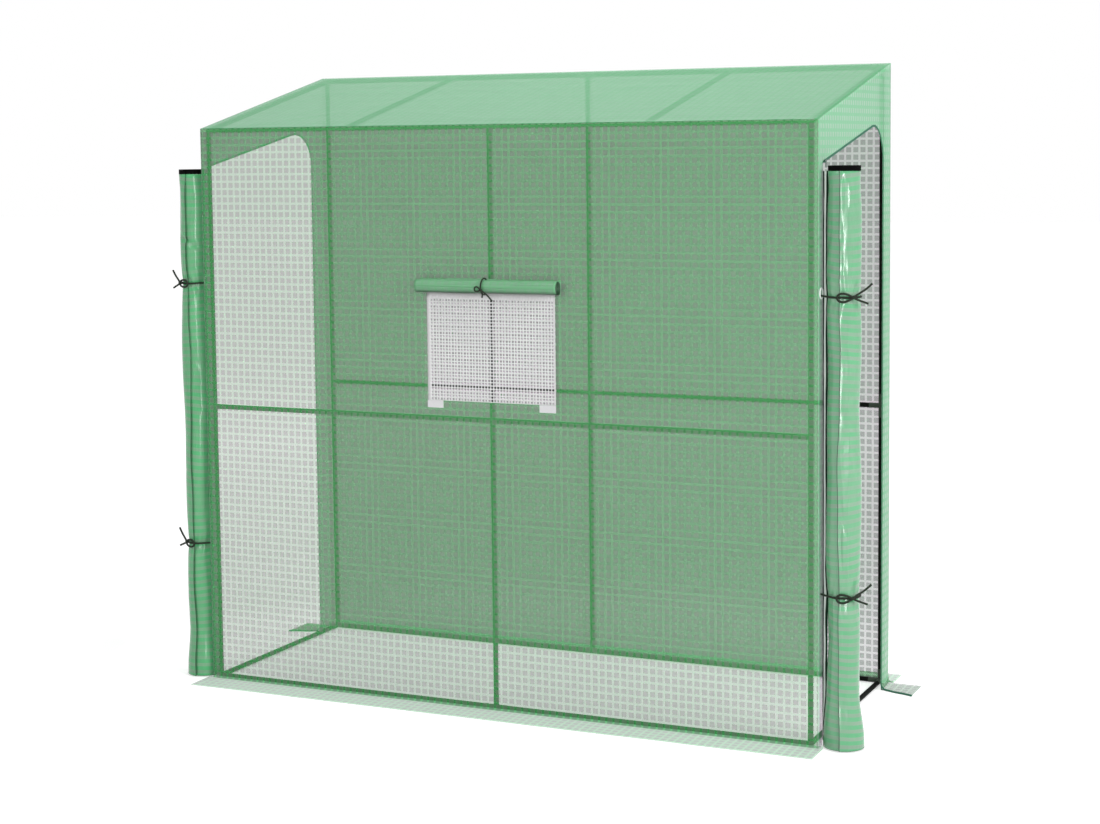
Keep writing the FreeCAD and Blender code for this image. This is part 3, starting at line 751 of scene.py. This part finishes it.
def doorwayTop(y):
    # The doorway's top edge: a rising straight line that runs into a round corner
    corner, slope = doorway["corner"], math.atan(doorway["rise"])
    centreY = doorway["back"] - corner

    def line(at):
        return doorway["frontHeight"] + (at - doorway["front"]) * doorway["rise"]

    centreZ = line(centreY) - corner / math.cos(slope)
    rounded = centreZ + np.sqrt(np.maximum(corner ** 2 - (y - centreY) ** 2, 0.0))
    return np.where(y < centreY - corner * math.sin(slope), line(y), rounded)


def endPanel(side, sign):
    # Columns run from the ground to the roof, with rows that follow the doorway's top edge
    front, back, corner = doorway["front"], doorway["back"], doorway["corner"]
    turn = np.linspace(doorway["cornerStart"], math.pi / 2, doorway["cornerSteps"])
    bend = back - corner + corner * np.sin(turn)
    y = np.concatenate([stations(frontY, front, cover["step"]),
                        stations(front, bend[0], cover["step"])[1:-1], bend,
                        stations(back, backY, cover["step"])[1:]])
    top = doorwayTop(np.clip(y, front, back))
    roof = roofTop(y) - cover["thickness"]
    rowsBelow, rowsAbove = doorway["rows"]
    lower = np.linspace(0.0, 1.0, rowsBelow)[:, None] * top[None]
    upper = top[None] + np.linspace(0.0, 1.0, rowsAbove)[1:, None] * (roof - top)[None]
    z = np.concatenate([lower, upper])
    u = np.broadcast_to(y, z.shape)
    inDoor = (middles(u) > front) & (middles(u) < back)
    hole = inDoor & (np.arange(len(z) - 1)[:, None] < rowsBelow - 1)
    toDoor = np.where((u > front) & (u < back), z - top[None], np.maximum(front - u, u - back))
    edge = np.minimum.reduce([u - frontY, backY - u, roof[None] - z, np.abs(toDoor)])
    lift = loosen(u, z, np.maximum(edge, 0.0) * cover["endFade"], cover["seeds"][side],
                  (frontY, backY, 0.0, 2.0)) * cover["endLoose"]
    piece = panel(f"{side}_end_panel", stack(sign * (endX + lift), u, z), stack(u, z), "endFilm",
                  f"{side}_end_film", ~hole, sign < 0)


flaps = {
    "foot": 0.006, "endFoot": 0.02, "counts": (5, 9), "endCounts": (8, 10), "overrun": 0.017,
    "splay": 0.04, "step": 0.012, "film": 0.0006, "lift": 0.0012, "swell": 0.0009, "wave": 0.16,
    "creases": (10, 0.001, 0.1, 0.008), "creaseArea": (-1.1, 1.1, -0.52, 0.52),
    "seed": 5, "endSeed": 9, "endDepth": 0.12, "binding": 0.008, "bindingFilm": 0.0012,
    "bindingCounts": (10, 16), "bindingLift": 0.0034, "bindingTilt": 0.0016,
    "bindingWaves": ((0.0006, 90, 0, 0),),
}
# foot: the radius in which the wall turns into the flap; counts: stations round it, then beyond


def outward(foot, reach, counts):
    # Distances from the wall, closer together where the flap turns out of it
    return np.concatenate([foot * np.linspace(0, 1, counts[0])[:-1],
                           np.linspace(foot, reach, counts[1])])


def footRise(away, radius):
    # A quarter round where the wall turns into the flap
    return radius - np.sqrt(np.maximum(radius ** 2 - np.maximum(radius - away, 0.0) ** 2, 0.0))


def flapFront(away, reach):
    return doorway["back"] - flaps["splay"] * away / reach


def flapBinding(side, sign, reach):
    # The zip's tape runs on round the foot of the wall and along the flap's front edge
    away = outward(flaps["endFoot"], reach, flaps["bindingCounts"])
    share = np.linspace(-1.0, 1.0, 3)[:, None]
    x, y = sign * (endX + away), flapFront(away, reach) + share * flaps["binding"] / 2
    z = flaps["bindingLift"] + footRise(away, flaps["endFoot"]) \
        + ripple(flaps["bindingWaves"], away) + flaps["bindingTilt"] * share
    piece = surface(f"{side}_flap_binding", stack(x, y, z), stack(away, y), flip=sign < 0)
    dress(thicken(piece, flaps["bindingFilm"]), "root", "zipTape", "zip_tape")


def groundFlap(name, look, u, v, away, foot, flip, seed):
    swell = flaps["swell"] * (billows(u, v, seed, flaps["wave"]) + 1)
    folds = creases(u, v, seed, flaps["creaseArea"], *flaps["creases"])
    z = flaps["lift"] + swell + folds + footRise(away, foot)
    piece = surface(f"{name}_ground_flap", stack(u, v, z), stack(u, v), flip=flip)
    dress(thicken(piece, flaps["film"]), "root", look, "green_film", "ground_flaps")


def groundFlaps():
    low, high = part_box("ground_flaps")
    reach = high.x - endX
    for side, sign in sides.items():
        flapBinding(side, sign, reach)
    x = stations(-endX - flaps["overrun"], endX + flaps["overrun"], flaps["step"])
    for name, wall, edge in (("front", frontY, low.y), ("back", backY, high.y)):
        depth = abs(edge - wall)
        u, away = np.meshgrid(x, outward(flaps["foot"], depth, flaps["counts"]))
        groundFlap(name, "groundFilm", u, wall + np.sign(edge - wall) * away, away, flaps["foot"],
                   name == "front", flaps["seed"])
    for side, sign in sides.items():
        away, share = np.meshgrid(outward(flaps["endFoot"], reach, flaps["endCounts"]),
                                  np.linspace(0, 1, flaps["endCounts"][1]))
        front = flapFront(away, reach)
        v = front + (backY - front) * share
        groundFlap(side, "endGroundFilm", sign * (endX + away), v, away, flaps["endFoot"], sign < 0,
                   flaps["endSeed"])


frontPanel()
backPanel()
roofPanel()
for side, sign in sides.items():
    endPanel(side, sign)
groundFlaps()
print("stage: cover")


# Rolled doors: a sheet wound inwards round a hollow core, drawn in at the ties, splayed at the foot

roll = {
    "radius": 0.05, "bulge": 0.003, "bulgeFade": 0.12, "footRadius": 0.064, "lip": 0.035,
    "flareHeight": 0.17, "waistRadius": 0.0475, "waistLength": 0.075 / 2.2,
    "pitch": 0.0032, "turns": 2.25, "film": 0.0012, "columns": (121, 50), "step": 0.0072,
    "topFade": 0.06, "innerShare": 0.96, "seeds": {"left": 131, "right": 101},
    "waver": ((0.055, 5.3, 0, 1), (0.04, 11.0, 0, 2), (0.02, 27.0, 0, 0)),
    "sag": ((0.0016, 9, 2, 1), (0.00128, 15, 1, 2)), "bandWaver": ((0.006, 6, 1, 0),),
    "creaseTop": 1.74, "folds": (80, 0.0022, 0.05, 0.005, (0.5, 2.6)), "foldShare": 0.4,
    "dents": (26, 0.0044, 0.11, 0.02, (1.1, 2.0)), "dentLess": 0.6,
    "edgeLift": 0.0032, "edgeReach": 0.01, "edgeLess": 0.8, "tieReach": 0.04,
    "gather": 0.0013, "pleats": 13, "pleatDrift": ((2, 30, 0, 1),),
}
# dentLess, edgeLess: how much flatter dents and the free edge lie by a tie
pinch = {"arc": 0.2356, "height": 1.513, "lean": 0.5, "reach": 0.045, "width": 0.007,
         "depth": 0.0065}  # the left roll's slanting fold
facet = {"angle": -1.165, "faces": -1.267, "drop": 0.19, "half": 0.18, "start": 0.144,
         "fade": 0.081, "drift": ((0.012, 19, 0, 0), (0.01, 47, 0, 0)), "share": 0.8,
         "comes": ((0.6, 23, 0, 0.7), (0.4, 61, 0, 0))}  # the right roll's flat strip
seam = {"gap": 0.0004, "reach": 0.003, "bottom": 0.015, "film": 0.0008, "bow": 0.005,
        "groove": 0.0035, "lap": 0.0036, "step": 0.009, "columns": 17,
        "swells": ((0.35, 14, 0, 1), (0.25, 37, 0, 0))}


def rollRadius(z):
    # The full roll, swelling below its hem, widening at the foot and drawn in by each tie
    flare = smoothStep((roll["flareHeight"] - z) / (roll["flareHeight"] - roll["lip"]))
    full = roll["radius"] + roll["bulge"] * smoothStep((rollTop - z) / roll["bulgeFade"])
    r = full + (roll["footRadius"] - full) * flare
    for height in tie["heights"]:
        r = r - (full - roll["waistRadius"]) * np.exp(-np.abs(z - height) / roll["waistLength"])
    return r


def windings(turns, counts):
    # Angles along a spiral, closer together on its outermost turn
    return np.concatenate([np.linspace(0.0, circle, counts[0]),
                           np.linspace(circle, circle * turns, counts[1] + 1)[1:]])[None]


def aroundRoll(arc, tall, seed, shape):
    # The same creases one turn back and one turn on, so that they close round the roll
    girth = circle * roll["radius"]
    area = (0, girth, 0.0, roll["creaseTop"])
    return sum(creases(arc + k * girth, tall, seed, area, *shape) for k in (-1, 0, 1))


def slantingFold(arc, tall):
    # A dent along a slanting line: exp(-(across / width)^2 - (along / reach)^4)
    lean, a, h = pinch["lean"], arc - pinch["arc"], tall - pinch["height"]
    along = a * math.cos(lean) + h * math.sin(lean)
    across = h * math.cos(lean) - a * math.sin(lean)
    return pinch["depth"] * np.exp(-(across / pinch["width"]) ** 2 - (along / pinch["reach"]) ** 4)


def flatStrip(phi, tall):
    # A strip that comes and goes: a chord's distance is R * cos(drop) / cos(angle from its normal)
    turn = phi - ripple(facet["drift"], tall)
    off = np.mod(turn - facet["angle"] + math.pi, circle) - math.pi
    near = np.clip(off, -2 * facet["half"], 2 * facet["half"]) + facet["angle"] - facet["faces"]
    come = np.clip(facet["share"] + ripple(facet["comes"], tall), 0.0, 1.0)
    share = come * (1 - smoothStep((np.abs(off) - facet["start"]) / facet["fade"]))
    return roll["radius"] * (math.cos(facet["drop"]) / np.cos(near) - 1) * share, 1 - share


def doorRoll(side, sign):
    # A spiral: the radius falls by one pitch a turn from the free edge inwards, plus folds, dents,
    # pleats by the ties and a slow waver
    z = stations(rollFoot, rollTop, roll["step"])[:, None]
    s = windings(roll["turns"], roll["columns"])
    fade = smoothStep((rollTop - z) / roll["topFade"])
    phi = -math.pi / 2 + ripple(roll["waver"], z, sign=sign) * fade + s
    arc, seed = np.mod(phi, circle) * roll["radius"], roll["seeds"][side]
    folds = aroundRoll(arc, z, seed, roll["folds"])
    dents = aroundRoll(arc, z, seed + 1, roll["dents"])
    sag = ripple(roll["sag"], z, phi, sign)
    if side == "left":
        dents = dents + slantingFold(arc, z)
    else:
        flat, rest = flatStrip(phi, z)
        sag, dents = sag * rest + flat, dents * rest
    near = sum(np.exp(-np.abs(z - h) / roll["tieReach"]) for h in tie["heights"])
    held = np.minimum(near, 1.0)
    pleats = np.sin(phi * roll["pleats"] + ripple(roll["pleatDrift"], z, sign=sign)) - 1
    edge = roll["edgeLift"] * np.exp(-s * roll["radius"] / roll["edgeReach"])
    relief = sag - folds * (roll["foldShare"] + near) - dents * (1 - roll["dentLess"] * held) \
        + edge * (1 - roll["edgeLess"] * held)
    spiral = rollRadius(z) * (1 - roll["pitch"] / roll["radius"] * s / circle)
    r = spiral + relief * fade + roll["gather"] * near * pleats
    x, y = sign * (rollAxis[0] + r * np.cos(phi)), rollAxis[1] + r * np.sin(phi)
    uv = stack(s * roll["radius"], z + ripple(roll["bandWaver"], z, phi))
    piece = thicken(surface(f"{side}_rolled_door", stack(x, y, z), uv, flip=sign < 0), roll["film"])
    look = "rolledFilm" if side == "right" else "shadedRollFilm"
    dress(piece, f"{side}_door", look, "green_film", f"{side}_door_roll")


def doorSeam(side, sign):
    # A strip from the wall's edge to the roll: its middle bows forwards, its end lies in a groove
    z = stations(seam["bottom"], rollTop, seam["step"])[:, None]
    start, end = endX + seam["gap"], rollAxis[0] - rollRadius(z) + seam["reach"]
    share = np.linspace(0.0, 1.0, seam["columns"])[None]
    x = start + (end - start) * share
    bow = seam["bow"] * np.sin(share * math.pi) ** 2 * (1 + ripple(seam["swells"], z, sign=sign))
    edges = np.where(share < 0.5, -seam["lap"], seam["groove"]) * np.cos(share * math.pi) ** 2
    points = stack(sign * x, rollAxis[1] - bow + edges, z)
    piece = surface(f"{side}_door_seam", points, stack(share, z), flip=sign < 0)
    thicken(piece, seam["film"])
    dress(piece, f"{side}_door", "seamShadeAndSheen", "green_film", f"{side}_door_roll")


for side, sign in sides.items():
    doorSeam(side, sign)
    doorRoll(side, sign)
print("stage: rolled doors")


# Window: a fine net behind the opening and the flap rolled up above it

net = {"pitch": 0.0107, "thread": 0.0038, "seam": 0.0015, "thickness": 0.0006, "swell": 0.0006,
       "wave": 0.2, "seed": 5, "bands": ((0.0158, 0.0042), (0.004, 0.024))}
# bands: plain cloth left and right, below and above the mesh
flapRoll = {
    "turns": 6.5, "pitch": 0.0029, "film": 0.001, "columns": (145, 180), "step": 0.008,
    "inset": 0.0004, "cloth": 0.6, "seed": 71, "creaseArcs": (0.02, 0.14),
    "creases": (26, 0.0018, 0.09, 0.0022, (-0.1, 0.1)),
    "waves": ((0.0005, 31, 1, 0), (0.0004, 12, 2, 0)), "endFade": 0.05, "taper": 0.06,
    "tieDepth": 0.0018, "tieReach": 0.01, "leadSteps": 4, "leadInset": 0.0005, "driftRate": 9,
    "grooves": ((2.93, 0.0016, 0.1, 0.0013), (3.42, 0.0011, -0.07, 0.0009),
                (2.58, 0.0014, 0.05, 0.001)),
}
# grooves: the long lines where a turn below shows: angle, depth, drift along the roll, half width


def windowNet():
    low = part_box("window_net")[0]
    half = window["halfWidth"] + net["seam"]
    spans = ((-half, half), (window["low"] - net["seam"], window["high"]))
    marks = []
    for (a, b), (before, after) in zip(spans, net["bands"]):
        count = round((b - a - before - after) / net["pitch"])
        pitch = (b - a - before - after) / count
        gaps = a + before + pitch * np.arange(count)
        opening = pitch * (1 - net["thread"] / net["pitch"])
        marks.append(np.sort(np.concatenate([[a], gaps, gaps + opening, [b]])))
    u, v = np.meshgrid(*marks)
    r, c = np.meshgrid(np.arange(len(marks[1]) - 1), np.arange(len(marks[0]) - 1), indexing="ij")
    gap = (r % 2 == 1) & (c % 2 == 1)
    y = low.y + net["swell"] * (billows(u, v, net["seed"], net["wave"]) + 1)
    piece = thicken(surface("window_mesh", stack(u, y, v), stack(u, v), ~gap), net["thickness"])
    dress(piece, "root", "netThread", "white_net", "window_net")


def windowFlap():
    # A spiral along X, hung from a short upright lead at its back, with long shallow creases
    centreY, centreZ = flapLow.y + flapRadius, flapLow.z + flapRadius
    x = stations(flapLow.x, flapHigh.x, flapRoll["step"])[:, None]
    s = windings(flapRoll["turns"], flapRoll["columns"])
    arc = np.mod(s, circle) * flapRadius
    ends = smoothStep((flapHigh.x - np.abs(x)) / flapRoll["endFade"])
    area = (flapLow.x, flapHigh.x, *flapRoll["creaseArcs"])
    lines = creases(x, arc, flapRoll["seed"], area, *flapRoll["creases"])
    r = flapRadius - flapRoll["inset"] - flapRoll["pitch"] * s / circle
    r = r + ripple(flapRoll["waves"], x, -s) * ends - lines * (s < circle)
    for angle, depth, drift, width in flapRoll["grooves"]:
        away = (s - angle - drift * np.sin(x * flapRoll["driftRate"] + angle)) * flapRadius
        r = r - depth * np.exp(-(away / width) ** 2)
    r = r - flapRoll["tieDepth"] * np.exp(-np.abs(x - windowTie["x"]) / flapRoll["tieReach"])
    narrow = 1 - smoothStep((x - flapLow.x) / flapRoll["endFade"])
    r = r * (1 - flapRoll["taper"] * narrow)
    lead = np.linspace(1.0, 0.0, flapRoll["leadSteps"] + 1)[None, :-1] * flapRadius + 0 * x
    back = centreY + flapRadius - flapRoll["leadInset"]
    y = np.concatenate([back + 0 * lead, centreY + r * np.cos(-s)], 1)
    z = np.concatenate([centreZ + lead, centreZ + r * np.sin(-s)], 1)
    v = np.concatenate([-lead, s * flapRadius + 0 * x], 1)
    piece = thicken(surface("rolled_window_flap", stack(x, y, z), stack(x, v)), flapRoll["film"])
    dress(piece, "window_flap", "flapFilm", "green_film", "window_flap_roll")


windowNet()
windowFlap()
print("stage: window")
